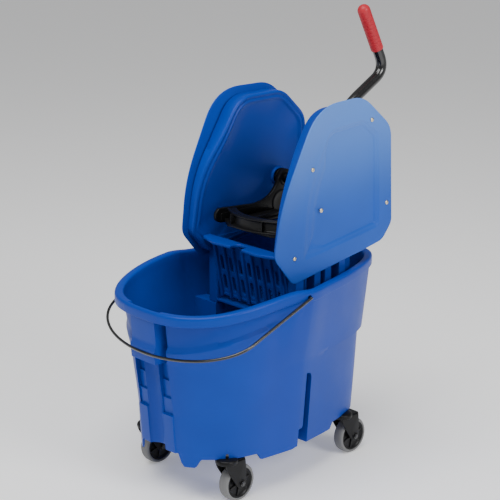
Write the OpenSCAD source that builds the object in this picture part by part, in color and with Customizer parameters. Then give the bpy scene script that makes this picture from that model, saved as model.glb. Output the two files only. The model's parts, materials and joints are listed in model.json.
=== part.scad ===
// Mop bucket on four swivel casters with a down-press wringer.
// X is the width, Y the length with the pouring end towards -Y, Z is up.
// Stations along Y are measured from the widest part of the rim, and the finished
// assembly is shifted so that the origin lies under the middle of its bounding box.

/* [Bucket] */
// Largest half width of the rim, without the swell at the bail pivots
rim_half = 191; // [185:1:195]
// Swell of the rim at the bail pivots
pivot_swell = 4; // [0:1:5]
// Length of the rim ahead of the widest station
front_len = 263; // [255:1:270]
// Length of the rim behind the widest station
rear_len = 303; // [298:1:310]
// Height of the rim at the pouring end
rim_front_z = 393; // [388:1:396]
// How much the rim rises towards the bail pivots
rim_rise = 24; // [15:1:28]
// How much the rim drops again beside the wringer
rim_drop = 5; // [0:1:8]
// Height of the rolled rim
rim_deep = 20; // [18:1:23]
// Overhang of the rim beyond the wall
rim_over = 14; // [10:1:16]
// Wall thickness of the bucket
wall = 4; // [3:0.5:5]
// Lowest edge of the skirt
skirt_z = 78; // [77:1:85]
// Top of the bucket floor
floor_z = 110; // [108:1:120]
// Thickness of the bucket floor
floor_t = 5; // [4:1:6]

/* [Bail] */
// Diameter of the bail wire
bail_d = 6; // [5:0.5:6]
// Angle of the bail below the horizontal at rest
bail_droop = 21; // [10:1:22]
// Reach of the bail from its pivots
bail_reach = 269; // [268:1:280]

/* [Casters] */
// Wheel diameter
wheel_d = 76; // [70:1:76]
// Wheel width
wheel_w = 24; // [20:1:26]
// Offset of the wheel axle behind the swivel axis
trail = 25; // [20:1:28]
// Diameter of the stem in its socket
stem_d = 11; // [10:0.5:12]
// Diameter of the axle bolt
axle_d = 8; // [6:1:10]

/* [Wringer] */
// Height of the press shaft above the floor
shaft_z = 553; // [550:1:556]
// Diameter of the press shaft
shaft_d = 22; // [18:1:24]
// Half width of the press frame
press_half = 85; // [80:1:86]
// Radius of the notch for the mop handle
notch_r = 16; // [12:1:18]
// Number of slot columns in the sieve
sieve_columns = 7; // [5:2:7]

/* [Handle] */
// Diameter of the handle tube
tube_d = 23; // [20:1:25]
// Length of the grip
grip_len = 107; // [90:1:120]
// Diameter of the grip
grip_d = 27; // [26:1:30]

/* [Hidden] */
$fn = 48;

bucket_blue = "#2f63b8";
wringer_blue = "#3f74c6";
press_black = "#1c1c1e";
tyre_grey = "#8b8b8b";
grip_red = "#b52a35";
zinc = "#c9c4b8";

slack = 0.05;              // running clearance on a radius
snug = 0.02;               // clearance on a radius where nothing turns
frame_y = -75;             // shift of the assembly along Y
side_draft = 0.0925;       // how far the walls lean inwards per unit of height
front_draft = 0.08;
rear_draft = 0.173;
taper_top = 0.42;          // how much the plan narrows towards the rear, at the rim
taper_loss = 0.0011;       // and how much less per unit of depth below it
front_round = 2.6;         // power of the rounded plan at the front
corner_turn = 46.6;        // direction in which the front corners are measured
ring_n = 72;               // points around the bucket
pivot_y = -8;              // bail pivots
pivot_z = 402;
rim_w = rim_over + wall;   // width of the rim's top
neck_z = 330;              // top of the straight wall, below the rim
wall_heights = [skirt_z, 180, 285, neck_z];

axle_z = wheel_d / 2;
caster_x = 119;            // swivel axes
caster_front_y = -153;
caster_rear_y = 170;
socket_top = 152;          // inside height of the stem sockets
caster_top = floor_z - floor_t;
fork_top = 95.5;

shaft_y = 205;
basket_y = 24;             // front face of the basket's corner posts
basket_low = 318;          // underside of the basket
shelf_z = 312;             // shelves in the bucket that carry the wringer
frame_z = 452;             // top frame of the basket
ledge_z = 455;
ledge_t = 7;
skin_x = 100;              // inner face of the side shells
cover_x = 131.8;           // inner face of the covers

// ---------------------------------------------------------------- helpers

function smooth(a, b, v) = let(t = min(1, max(0, (v - a) / (b - a)))) t * t * (3 - 2 * t);
function unit(v) = v / norm(v);

// A closed outline with each corner [y, z, cut] eased by a short curve
function eased(pts, steps = 4) = [
    for (i = [0 : len(pts) - 1])
        let(
            n = len(pts),
            v = [pts[i][0], pts[i][1]],
            b = pts[(i + n - 1) % n],
            c = pts[(i + 1) % n],
            from = v + pts[i][2] * unit([b[0], b[1]] - v),
            to = v + pts[i][2] * unit([c[0], c[1]] - v)
        )
        for (k = [0 : steps])
            let(t = k / steps)
            (1 - t) * (1 - t) * from + 2 * t * (1 - t) * v + t * t * to
];

// The same outline moved inwards by d, for outlines that run clockwise
function inset(pts, d) = [
    for (i = [0 : len(pts) - 1])
        let(
            n = len(pts),
            a = unit(pts[i] - pts[(i + n - 1) % n]),
            b = unit(pts[(i + 1) % n] - pts[i]),
            na = [a[1], -a[0]],
            nb = [b[1], -b[0]]
        )
        pts[i] + d * (na + nb) / (1 + na * nb)
];

// Solid through equal rings of points, capped at both ends or closed into a tube wall
module loft(rings, tube = false) {
    n = len(rings[0]);
    last = len(rings) - 1;
    sides = [
        for (r = [0 : tube ? last : last - 1], i = [0 : n - 1])
            let(a = r * n + i, b = r * n + (i + 1) % n, up = r == last ? -last * n : n)
            each [[a, b, b + up], [a, b + up, a + up]]
    ];
    caps = [
        [for (i = [n - 1 : -1 : 0]) i],
        [for (i = [0 : n - 1]) last * n + i]
    ];
    polyhedron(
        points = [for (r = rings) each r],
        faces = tube ? sides : concat(sides, caps),
        convexity = 8
    );
}

// Round bar swept along a path of points in one plane, which has the given normal
module bar(path, normal, r, sides) {
    last = len(path) - 1;
    rings = [
        for (i = [0 : last])
            let(
                t = unit(path[min(i + 1, last)] - path[max(i - 1, 0)]),
                side = cross(t, normal)
            )
            [for (k = [0 : sides - 1]) path[i] + r * (cos(k * 360 / sides) * normal
                - sin(k * 360 / sides) * side)]
    ];
    loft(rings);
}

module in_frame() {
    translate([0, frame_y, 0]) children();
}

// Solid from a profile in the YZ plane, between two stations along X
module along_x(x0, x1) {
    translate([x0, 0, 0]) rotate([90, 0, 90]) linear_extrude(height = x1 - x0) children();
}

module rod_x(r, x0, x1, y, z) {
    translate([x0, y, z]) rotate([0, 90, 0]) cylinder(r = r, h = x1 - x0);
}

module block(low, high) {
    translate(low) cube(high - low);
}

module each_side() {
    children();
    mirror([1, 0, 0]) children();
}

// ---------------------------------------------------------------- bucket

function rim_z(y) = rim_front_z + rim_rise * smooth(-front_len, -20, y)
    - rim_drop * smooth(-37, 25, y);
function swell(y) = pivot_swell * pow(cos(min(90, abs(y) * 1.2)), 2);

// Reach of the plan outline ahead of or behind the widest station, h below the rim
function reach(ahead, h) = ahead ? front_len - front_draft * h : rear_len - rear_draft * h;

// Half width at station y, h below the rim, for an outline moved inwards by d
function half_width(y, h, d) =
    let(
        u = min(1, abs(y) / (reach(y < 0, h) - d)),
        w = rim_half - side_draft * h - d
    )
    (y < 0 ? w * pow(1 - pow(u, front_round), 1 / front_round)
           : w * (1 - (taper_top - taper_loss * h) * pow(u, 1.3)) * pow(1 - pow(u, 5), 0.2))
    + swell(y) * (1 - u);

// How far the front corners of the wall may stand out at height z, measured across them
function corner_reach(z) = 211 + 0.12 * max(0, z - 180) + 0.26 * max(0, z - 285)
    + 0.6 * max(0, z - 340);

// A point of a front corner, d inwards from the rim, drawn back softly to that reach
function cut_back(p, z, d) =
    let(
        across = abs(p[0]) * cos(corner_turn) - p[1] * sin(corner_turn),
        most = corner_reach(z) + rim_over - d
    )
    p[1] > 0 ? p : p * pow(1 + pow(across / most, 20), -1 / 20);

// One ring of the bucket: d inwards from the rim's outline, at height z or z above the rim
function bucket_ring(d, z, on_rim = false) = [
    for (i = [0 : ring_n - 1])
        let(
            a = i * 360 / ring_n,
            h = on_rim ? 0 : max(0, rim_front_z - rim_deep - z),
            y = -sin(a) * (reach(sin(a) > 0, h) - d),
            middle = abs(cos(a)) < 0.001,
            p = [middle ? 0 : sign(cos(a)) * half_width(y, h, d), y],
            q = on_rim ? p : cut_back(p, z, d)
        )
        [q[0], q[1], on_rim ? rim_z(y) + z : z]
];

// The wall with its rolled rim, without a floor
module bucket_wall() {
    loft([
        for (z = wall_heights) bucket_ring(rim_over, z),
        bucket_ring(rim_over, -rim_deep, true),
        bucket_ring(1, -rim_deep, true),
        bucket_ring(0, -rim_deep + 3, true),
        bucket_ring(0, -5, true),
        bucket_ring(3, -1, true),
        bucket_ring(7, 0, true),
        bucket_ring(rim_w - 3, 0, true),
        bucket_ring(rim_w, -5, true),
        for (i = [len(wall_heights) - 1 : -1 : 0]) bucket_ring(rim_w, wall_heights[i])
    ], tube = true);
}

// The floor, and the shelves that carry the wringer, all reaching out to mid wall
module bucket_inside() intersection() {
    loft([for (z = wall_heights) bucket_ring(rim_over + wall / 2, z)]);
    union() {
        block([-250, -400, floor_z - floor_t], [250, 400, floor_z]);
        each_side() block([104, 5, floor_z - 1], [200, 53, shelf_z]);
        block([-70, 218, floor_z - 1], [70, 400, shelf_z]);
    }
}

// Round-topped groove up each side, seen along X
module side_groove() {
    along_x(139, 230) {
        translate([22.5, 214]) circle(r = 13.5);
        translate([9, skirt_z - 1]) square([27, 137]);
    }
}

// Hollow up the middle of the pouring end, and the wall behind it
channel_r = 27;
channel_y = -238;

module in_channel() {
    translate([0, channel_y, skirt_z - 1]) rotate([4.5, 0, 0]) children();
}

module channel_wall() in_channel() intersection() {
    cylinder(r = channel_r + wall, h = 188);
    translate([-40, 14, 0]) cube([80, 30, 188]);
}

module bucket_shell() color(bucket_blue) in_frame() difference() {
    union() {
        bucket_wall();
        bucket_inside();
        channel_wall();
        for (x = [-caster_x, caster_x], y = [caster_front_y, caster_rear_y])
            translate([x, y, floor_z - 1]) cylinder(r = 12, h = socket_top - floor_z + 5);
    }
    for (x = [-caster_x, caster_x], y = [caster_front_y, caster_rear_y]) {
        translate([x, y, floor_z - floor_t - 1])
            cylinder(d = stem_d + 2 * slack, h = socket_top - floor_z + floor_t + 1);
        translate([x, y, skirt_z - 1]) cylinder(r1 = 71, r2 = 60, h = 19);
        translate([x, y, skirt_z]) cylinder(r = collar_r + 0.3, h = caster_top + 0.3 - skirt_z);
    }
    rod_x(bail_d / 2 + slack, -230, 230, pivot_y, pivot_z);
    each_side() side_groove();
    in_channel() cylinder(r = channel_r, h = 184);
}

// ---------------------------------------------------------------- bail

bail_x = 198.5;            // where the arms leave the pivots
bow_x = 197;               // widest part of the bow
bow_start = 158;           // where the straight arms end

// A point of the bail in its own plane: x across, s forwards from the pivots
function bail_point(x, s) = [x, pivot_y - s * cos(bail_droop), pivot_z - s * sin(bail_droop)];

module bail_wire() color(press_black) in_frame() {
    bow = [
        for (a = [0 : 9 : 180])
            bail_point(bow_x * cos(a), bow_start + (bail_reach - bow_start) * sin(a))
    ];
    path = concat([bail_point(bail_x, -4)], bow, [bail_point(-bail_x, -4)]);
    bar(path, [0, -sin(bail_droop), cos(bail_droop)], bail_d / 2, 10);
    each_side() rod_x(bail_d / 2, 172, bail_x + 1, pivot_y, pivot_z);
}

// ---------------------------------------------------------------- wringer

// Outline of the cover from the side, [y, z, easing at the corner]
cover_outline = [
    [-43, 470, 14], [-27, 575, 60], [60, 750, 62], [199, 752, 28], [282, 684, 22],
    [292, 484, 10], [265, 451, 12], [218, 442, 30], [7, 409, 12]
];
// Outline of the inner shell
shell_outline = [
    [-29, 470, 12], [-12, 580, 55], [86, 736, 38], [211, 738, 25], [278, 676, 22],
    [283, 498, 10], [262, 464, 10], [222, 455, 25], [10, 424, 10]
];
cover_screw_places = [[224, 703], [58, 628], [83, 544], [275, 527], [11, 461]];
cover_flare = 9;
cover_t = 3;
screw_r = 2;
screw_head_r = 4.5;
bush_r = 14;
shell_gap = 0.4;           // clearance between the shells and the basket

// How far the cover's border flares outwards, most at its upper front corner
function flare(p) = cover_flare * smooth(60, -20, 0.55 * p[0] - 0.45 * (p[1] - 644));

function yz_ring(pts, x, flared = 0) = [for (p = pts) [x + flared * flare(p), p[0], p[1]]];

module cover_body() {
    edge = eased(cover_outline);
    flat = inset(edge, 14);
    difference() {
        loft([
            yz_ring(flat, cover_x), yz_ring(edge, cover_x, 1),
            yz_ring(edge, cover_x + cover_t, 1), yz_ring(flat, cover_x + cover_t)
        ]);
        along_x(cover_x + 1.4, cover_x + 20) polygon(eased([
            [37, 452, 8], [53, 600, 40], [111, 694, 12], [197, 697, 8], [239, 668, 8], [247, 482, 8]
        ]));
        for (p = cover_screw_places) rod_x(screw_r + 0.3, cover_x - 5, cover_x + 20, p[0], p[1]);
    }
}

module shell_body() {
    edge = eased(shell_outline);
    difference() {
        union() {
            difference() {
                loft([
                    yz_ring(inset(edge, 46), skin_x + 9), yz_ring(inset(edge, 40), skin_x + 8),
                    yz_ring(inset(edge, 12), skin_x + 1), yz_ring(inset(edge, 7), skin_x - 1),
                    yz_ring(inset(edge, 3), skin_x - 1), yz_ring(edge, skin_x + 2),
                    yz_ring(edge, cover_x - 0.1), yz_ring(inset(edge, 3), cover_x - 0.1)
                ]);
                along_x(skin_x + 12, cover_x + 5) polygon(inset(edge, 6));
            }
            rod_x(bush_r + 4, skin_x + 4, cover_x - 1, shaft_y, shaft_z);
            for (p = cover_screw_places) rod_x(5.5, skin_x + 5, cover_x - 0.2, p[0], p[1]);
        }
        rod_x(bush_r + slack, skin_x - 5, cover_x - 4, shaft_y, shaft_z);
        for (p = cover_screw_places) rod_x(screw_r + slack, skin_x + 8, cover_x + 1, p[0], p[1]);
    }
}

module screws_body() {
    for (p = cover_screw_places) {
        rod_x(screw_r, cover_x - 8, cover_x + cover_t, p[0], p[1]);
        rod_x(screw_head_r, cover_x + cover_t, cover_x + cover_t + 2.5, p[0], p[1]);
    }
}

module inner_shell_right() color(wringer_blue) in_frame() shell_body();
module inner_shell_left() color(wringer_blue) in_frame() mirror([1, 0, 0]) shell_body();
module outer_cover_right() color(wringer_blue) in_frame() cover_body();
module outer_cover_left() color(wringer_blue) in_frame() mirror([1, 0, 0]) cover_body();
module cover_screws_right() color(zinc) in_frame() screws_body();
module cover_screws_left() color(zinc) in_frame() mirror([1, 0, 0]) screws_body();

module bush_body() {
    difference() {
        union() {
            rod_x(bush_r, skin_x - 1, cover_x - 5, shaft_y, shaft_z);
            rod_x(bush_r + 4.5, skin_x - 4, skin_x + 1, shaft_y, shaft_z);
        }
        rod_x(shaft_d / 2 + slack, skin_x - 5, cover_x, shaft_y, shaft_z);
    }
}

module shaft_bush_right() color(press_black) in_frame() bush_body();
module shaft_bush_left() color(press_black) in_frame() mirror([1, 0, 0]) bush_body();

// Plan of the basket's lower walls, half of it, [x, y]
basket_half = [[101, 26], [101, 196], [84, 217], [0, 217]];

module basket_plan(grow) {
    half = [for (p = basket_half) [p[0] + (p[0] > 0 ? grow : 0), p[1] + (p[1] > 200 ? grow : 0)]];
    polygon(concat([[0, 26]], half));
    mirror([1, 0]) polygon(concat([[0, 26]], half));
}

sieve_y = 10;              // front of the sieve at its top
sieve_pitch = 26.7;
sieve_lean = 11;
sieve_h = 126;
rib_deep = 6;

// The sieve wall, drawn upright from its top edge downwards, then leaned back
module sieve_wall() {
    translate([0, sieve_y, ledge_z + 1]) rotate([sieve_lean, 0, 0]) {
        difference() {
            block([-103, 0, -sieve_h], [103, 4, 0]);
            for (i = [0 : sieve_columns - 1], z = [-68, -108])
                translate([(i - (sieve_columns - 1) / 2) * sieve_pitch, -1, z])
                    slot_cut(8, 34, 6);
        }
        for (i = [0 : sieve_columns])
            translate([(i - sieve_columns / 2) * sieve_pitch, 0, 0])
                block([-3, -rib_deep, 4 - sieve_h], [3, 0.5, 0]);
    }
}

// Upright slot with round ends: w wide, h high, cut t deep along Y
module slot_cut(w, h, t) {
    translate([-w / 2, 0, w / 2]) cube([w, t, h - w]);
    for (z = [w / 2, h - w / 2])
        translate([0, 0, z]) rotate([-90, 0, 0]) cylinder(d = w, h = t);
}

module basket_ledge() {
    translate([0, 0, ledge_z]) linear_extrude(height = ledge_t) difference() {
        polygon([
            [-112, 12], [-112, -4], [-63, -22], [-20, -19], [20, -19], [63, -22], [112, -4], [112, 12]
        ]);
        translate([0, -12]) circle(r = notch_r);
        translate([-notch_r, -40]) square([2 * notch_r, 28]);
    }
}

// The basket before the side shells' places are cut out of it
module basket_body() {
    sieve_wall();
    basket_ledge();
    difference() {
        translate([0, 0, basket_low]) linear_extrude(height = frame_z + 4 - basket_low)
            basket_plan(4);
        translate([0, 0, basket_low + 4]) linear_extrude(height = 200) basket_plan(0);
        block([-97, 20, basket_low + 4], [97, 33, frame_z + 5]);
        for (y = [62 : 33 : 130])
            block([-120, y, 345], [120, y + 16, 440]);
        for (x = [-66 : 33 : 66])
            translate([x, 210, 345]) slot_cut(12, 90, 20);
        for (x = [-80 : 20 : 80], y = [50, 110])
            translate([x - 4, y, basket_low - 1]) cube([8, 44, 6]);
    }
    each_side() {
        block([104, basket_y, shelf_z], [127, 46, ledge_z + 1]);
        for (y = [79, 112])
            block([104, y, 335], [124, y + 16, ledge_z]);
        block([40, 220, shelf_z], [64, 240, frame_z]);
        block([60, 218, frame_z - 5], [112, 232, frame_z]);
    }
}

// Room for the side shells and covers, which stand on the basket
module shell_room() {
    along_x(skin_x - 1 - shell_gap, cover_x) polygon(inset(eased(shell_outline), -shell_gap));
    along_x(cover_x - shell_gap, cover_x + 20) polygon(inset(eased(cover_outline), -shell_gap));
}

module wringer_basket() color(wringer_blue) in_frame() difference() {
    basket_body();
    each_side() shell_room();
}

// ---------------------------------------------------------------- press

arm_t = 8;
arc_y = 139;               // centre of the yoke's arc
arc_r = 138;               // its front edge
arc_half = 38;             // half of its angle

module press_shaft() color(press_black) in_frame()
    rod_x(shaft_d / 2, 5 - cover_x, cover_x - 5, shaft_y, shaft_z);

module arm_body() {
    difference() {
        along_x(press_half, press_half + arm_t) {
            translate([shaft_y, shaft_z]) circle(r = 18.5);
            translate([198, 503]) circle(r = 27);
            polygon([
                [188, 562], [150, 522], [135, 518], [14, 518], [8, 505], [6, 484], [14, 472],
                [34, 474], [60, 488], [180, 484], [215, 540]
            ]);
        }
        rod_x(shaft_d / 2 + snug, press_half - 1, press_half + arm_t + 1, shaft_y, shaft_z);
    }
}

module press_arm_right() color(press_black) in_frame() arm_body();
module press_arm_left() color(press_black) in_frame() mirror([1, 0, 0]) arm_body();

// Part of a flat ring about the arc's centre, between two radii and two heights
module arc_band(r0, r1, z0, z1) {
    translate([0, arc_y, z0]) rotate([0, 0, -90 - arc_half])
        rotate_extrude(angle = 2 * arc_half, $fn = 120)
            translate([r0, 0]) square([r1 - r0, z1 - z0]);
}

module press_yoke() color(press_black) in_frame() intersection() {
    union() {
        arc_band(arc_r - 20, arc_r, 492, 496);
        arc_band(arc_r - 14, arc_r - 10, 496, 514);
        arc_band(arc_r - 25, arc_r - 6, 514, 518);
        for (a = [-19, 19])
            translate([0, arc_y, 495]) rotate([0, 0, a])
                block([-1.5, 6 - arc_r, 0], [1.5, 20 - arc_r, 20]);
    }
    block([-press_half, -50, 480], [press_half, 200, 530]);
}

module press_plate() color(press_black) in_frame() {
    difference() {
        translate([0, 0, 487]) linear_extrude(height = 5) difference() {
            polygon([
                [-press_half, 30], [-60, 15], [60, 15], [press_half, 30], [press_half, 170],
                [34, 170], [-34, 170], [-press_half, 170]
            ]);
            translate([0, 82]) circle(r = 32);
            translate([-32, 82]) square([64, 100]);
        }
        for (x = [-58, 58], y = [60 : 24 : 140])
            translate([x, y, 480]) cylinder(d = 12, h = 20);
    }
    each_side() block([38, 60, 491], [42, 165, 500]);
}

// ---------------------------------------------------------------- handle

// Corners of the tube's centre line in the YZ plane, [y, z, easing]
tube_corners = [[shaft_y, shaft_z], [285, 697], [412, 768], [337, 908]];
tube_low = tube_corners[0];
tube_dir = unit(tube_corners[1] - tube_low);
grip_dir = unit(tube_corners[3] - tube_corners[2]);
tube_lean = atan2(tube_dir[0], tube_dir[1]);
grip_lean = atan2(grip_dir[0], grip_dir[1]);
socket_len = 62;
socket_r = 16;
plug_start = 24;           // how far from the shaft the tube begins
bolt_at = 48;              // how far from the shaft the socket's bolt is
bolt_r = 3;
grip_end = 12;             // solid end of the grip, beyond the tube

module along_handle(s) {
    translate([0, shaft_y, shaft_z]) rotate([-tube_lean, 0, 0]) translate([0, 0, s]) children();
}

module along_grip(s) {
    translate([0, tube_corners[3][0], tube_corners[3][1]]) rotate([-grip_lean, 0, 0])
        translate([0, 0, s]) children();
}

module handle_socket() color(press_black) in_frame() difference() {
    union() {
        rod_x(19, -24, 24, shaft_y, shaft_z);
        along_handle(0) cylinder(r = socket_r, h = socket_len);
    }
    rod_x(shaft_d / 2 + snug, -25, 25, shaft_y, shaft_z);
    along_handle(plug_start - 0.1) cylinder(d = tube_d + 0.1, h = socket_len);
    along_handle(bolt_at) rotate([0, 90, 0]) cylinder(r = bolt_r + 0.1, h = 60, center = true);
}

// One eased corner of the tube as a list of points, from the first cut to the second
function tube_bend(i, cut) = [
    for (k = [0 : 8])
        let(
            v = tube_corners[i],
            a = v + cut * unit(tube_corners[i - 1] - v),
            b = v + cut * unit(tube_corners[i + 1] - v),
            t = k / 8,
            p = (1 - t) * (1 - t) * a + 2 * t * (1 - t) * v + t * t * b
        )
        [0, p[0], p[1]]
];

module handle_tube() color(press_black) in_frame() difference() {
    start = tube_low + plug_start * tube_dir;
    end = tube_corners[3] - grip_end * grip_dir;
    bar(
        concat([[0, start[0], start[1]]], tube_bend(1, 52), tube_bend(2, 34), [[0, end[0], end[1]]]),
        [1, 0, 0], tube_d / 2, 20
    );
    along_handle(bolt_at) rotate([0, 90, 0]) cylinder(r = bolt_r + 0.1, h = 60, center = true);
}

module socket_bolts() color(zinc) in_frame() along_handle(bolt_at) rotate([0, 90, 0]) {
    cylinder(r = bolt_r, h = 2 * socket_r + 8, center = true);
    for (z = [socket_r + 0.2, -socket_r - 4.2])
        translate([0, 0, z]) cylinder(r = 5.5, h = 4);
}

module handle_grip() color(grip_red) in_frame() difference() {
    along_grip(-grip_len) rotate_extrude() {
        square([grip_d / 2 - 1.5, grip_len - 10]);
        translate([0, 3]) square([grip_d / 2, grip_len - 16]);
        translate([0, grip_len - 13]) intersection() {
            circle(d = grip_d);
            square([grip_d, grip_d]);
        }
    }
    along_grip(-grip_len - 1) cylinder(d = tube_d + 0.1, h = grip_len + 1.1 - grip_end);
}

// ---------------------------------------------------------------- casters

fork_in = wheel_w / 2 + 1.5;
fork_t = 3;
collar_r = 7;              // collar of the stem, under the bucket floor

module stem_body() {
    translate([0, 0, fork_top + 0.2]) cylinder(r = collar_r, h = caster_top - fork_top - 0.4);
    translate([0, 0, fork_top - 13]) cylinder(d = stem_d, h = socket_top - fork_top + 11);
    translate([0, 0, fork_top - 15.3]) cylinder(r = 9, h = 3);
}

module fork_body() {
    difference() {
        union() {
            translate([0, 0, fork_top - 12]) cylinder(r = 22, h = 12);
            block([-fork_in - fork_t, 0, fork_top - 12], [fork_in + fork_t, trail + 8, fork_top - 8]);
            for (x = [-fork_in - fork_t, fork_in])
                along_x(x, x + fork_t) {
                    polygon([
                        [-14, fork_top - 8], [-10, fork_top - 22], [trail - 10, axle_z - 3],
                        [trail + 10, axle_z - 2], [trail + 10, fork_top - 20],
                        [trail + 8, fork_top - 8]
                    ]);
                    translate([trail, axle_z]) circle(r = 10.5);
                }
        }
        translate([0, 0, fork_top - 13]) cylinder(d = stem_d + 2 * slack, h = 20);
        rod_x(axle_d / 2 + snug, -40, 40, trail, axle_z);
    }
}

module axle_body() {
    half = fork_in + fork_t;
    rod_x(axle_d / 2, -half - 4, half + 4, trail, axle_z);
    rod_x(6.5, half + 0.1, half + 4, trail, axle_z);
    rod_x(6.5, -half - 4, -half - 0.1, trail, axle_z);
}

module hub_body() {
    r = wheel_d / 2 - 7;
    difference() {
        union() {
            rod_x(r, -wheel_w / 2 + 2, wheel_w / 2 - 2, trail, axle_z);
            rod_x(8, -fork_in + 0.4, fork_in - 0.4, trail, axle_z);
        }
        rod_x(axle_d / 2 + slack, -30, 30, trail, axle_z);
        for (s = [-1, 1])
            translate([s * 10.5, trail, axle_z]) rotate([0, 90, 0]) difference() {
                cylinder(r = r - 4, h = 8, center = true);
                cylinder(r = 9, h = 9, center = true);
            }
    }
}

module tyre_body() {
    r = wheel_d / 2;
    h = wheel_w / 2;
    translate([0, trail, axle_z]) rotate([0, 90, 0]) rotate_extrude($fn = 72) polygon([
        [r - 6.95, -h + 1], [r - 5, -h], [r - 2.4, -h + 1.4], [r - 0.6, -h + 4.6], [r, -h + 8],
        [r, h - 8], [r - 0.6, h - 4.6], [r - 2.4, h - 1.4], [r - 5, h], [r - 6.95, h - 1]
    ]);
}

module at_caster(sx, y) {
    in_frame() translate([sx * caster_x, y, 0]) children();
}

module caster_fl_stem() color(zinc) at_caster(-1, caster_front_y) stem_body();
module caster_fl_fork() color(press_black) at_caster(-1, caster_front_y) fork_body();
module caster_fl_axle() color(zinc) at_caster(-1, caster_front_y) axle_body();
module caster_fl_hub() color(press_black) at_caster(-1, caster_front_y) hub_body();
module caster_fl_tyre() color(tyre_grey) at_caster(-1, caster_front_y) tyre_body();
module caster_fr_stem() color(zinc) at_caster(1, caster_front_y) stem_body();
module caster_fr_fork() color(press_black) at_caster(1, caster_front_y) fork_body();
module caster_fr_axle() color(zinc) at_caster(1, caster_front_y) axle_body();
module caster_fr_hub() color(press_black) at_caster(1, caster_front_y) hub_body();
module caster_fr_tyre() color(tyre_grey) at_caster(1, caster_front_y) tyre_body();
module caster_rl_stem() color(zinc) at_caster(-1, caster_rear_y) stem_body();
module caster_rl_fork() color(press_black) at_caster(-1, caster_rear_y) fork_body();
module caster_rl_axle() color(zinc) at_caster(-1, caster_rear_y) axle_body();
module caster_rl_hub() color(press_black) at_caster(-1, caster_rear_y) hub_body();
module caster_rl_tyre() color(tyre_grey) at_caster(-1, caster_rear_y) tyre_body();
module caster_rr_stem() color(zinc) at_caster(1, caster_rear_y) stem_body();
module caster_rr_fork() color(press_black) at_caster(1, caster_rear_y) fork_body();
module caster_rr_axle() color(zinc) at_caster(1, caster_rear_y) axle_body();
module caster_rr_hub() color(press_black) at_caster(1, caster_rear_y) hub_body();
module caster_rr_tyre() color(tyre_grey) at_caster(1, caster_rear_y) tyre_body();

bucket_shell();
bail_wire();
wringer_basket();
inner_shell_left();
inner_shell_right();
outer_cover_left();
outer_cover_right();
cover_screws_left();
cover_screws_right();
shaft_bush_left();
shaft_bush_right();
press_shaft();
press_arm_left();
press_arm_right();
press_yoke();
press_plate();
handle_socket();
handle_tube();
handle_grip();
socket_bolts();
caster_fl_stem();
caster_fl_fork();
caster_fl_axle();
caster_fl_hub();
caster_fl_tyre();
caster_fr_stem();
caster_fr_fork();
caster_fr_axle();
caster_fr_hub();
caster_fr_tyre();
caster_rl_stem();
caster_rl_fork();
caster_rl_axle();
caster_rl_hub();
caster_rl_tyre();
caster_rr_stem();
caster_rr_fork();
caster_rr_axle();
caster_rr_hub();
caster_rr_tyre();
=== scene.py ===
import json
import math

import bmesh
import bpy
from mathutils import Matrix, Vector


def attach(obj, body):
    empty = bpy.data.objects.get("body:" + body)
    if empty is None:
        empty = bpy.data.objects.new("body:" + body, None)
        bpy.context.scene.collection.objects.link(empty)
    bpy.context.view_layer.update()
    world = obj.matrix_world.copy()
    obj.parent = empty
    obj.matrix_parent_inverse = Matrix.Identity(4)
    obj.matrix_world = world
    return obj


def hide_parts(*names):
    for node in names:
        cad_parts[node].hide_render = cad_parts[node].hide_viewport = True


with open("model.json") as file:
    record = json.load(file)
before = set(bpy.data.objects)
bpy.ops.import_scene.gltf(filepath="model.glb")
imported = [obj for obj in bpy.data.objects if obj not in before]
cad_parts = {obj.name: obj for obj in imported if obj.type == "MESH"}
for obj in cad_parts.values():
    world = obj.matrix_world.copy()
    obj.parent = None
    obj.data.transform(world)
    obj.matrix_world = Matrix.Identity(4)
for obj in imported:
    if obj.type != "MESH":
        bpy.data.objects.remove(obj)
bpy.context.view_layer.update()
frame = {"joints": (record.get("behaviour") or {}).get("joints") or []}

# Sizes below are millimetres, with y counted from the widest station of the rim.
# The bail's hinge says where that station lies in the frame.
MM = 0.001
JOINT = {j["name"]: j for j in frame["joints"]}
PIVOT_Y, PIVOT_Z = -8, 402
BASE_Y = JOINT["bail_hinge"]["pos_m"][1] - PIVOT_Y * MM
SHAFT_Y = (JOINT["press_hinge"]["pos_m"][1] - BASE_Y) / MM
SHAFT_Z = JOINT["press_hinge"]["pos_m"][2] / MM
SHAFT = (0, SHAFT_Y, SHAFT_Z)
CORNERS = ("fl", "fr", "rl", "rr")

# ---- materials


def blank(name):
    """A new material, its node tree and its shader."""
    material = bpy.data.materials.new(name)
    material.use_nodes = True
    return material, material.node_tree, material.node_tree.nodes["Principled BSDF"]


def wired(tree, node, **inputs):
    """Sets a node's inputs, each to a value or to another node's output. Gives its outputs."""
    for name, value in inputs.items():
        socket = node.inputs[name.replace("_", " ")]
        if isinstance(value, bpy.types.NodeSocket):
            tree.links.new(value, socket)
        else:
            socket.default_value = value
    return node.outputs


def added(tree, kind, **inputs):
    return wired(tree, tree.nodes.new(kind), **inputs)


def noise(tree, scale, detail, stretch=(1, 1, 1)):
    """Noise in object space, so it has the same size on every piece."""
    place = added(tree, "ShaderNodeTexCoord")["Object"]
    place = added(tree, "ShaderNodeMapping", Vector=place, Scale=stretch)["Vector"]
    return added(tree, "ShaderNodeTexNoise", Vector=place, Scale=scale, Detail=detail)["Fac"]


def ramp(tree, source, colour, *stops):
    """Shades of a colour by (place, factor) stops."""
    node = tree.nodes.new("ShaderNodeValToRGB")
    for element, (place, factor) in zip(node.color_ramp.elements, stops):
        element.position = place
        element.color = (*[min(1, c * factor) for c in colour], 1)
    return wired(tree, node, Fac=source)["Color"]


def spread(tree, source, low, high):
    return added(tree, "ShaderNodeMapRange", Value=source, To_Min=low, To_Max=high)["Result"]


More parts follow.
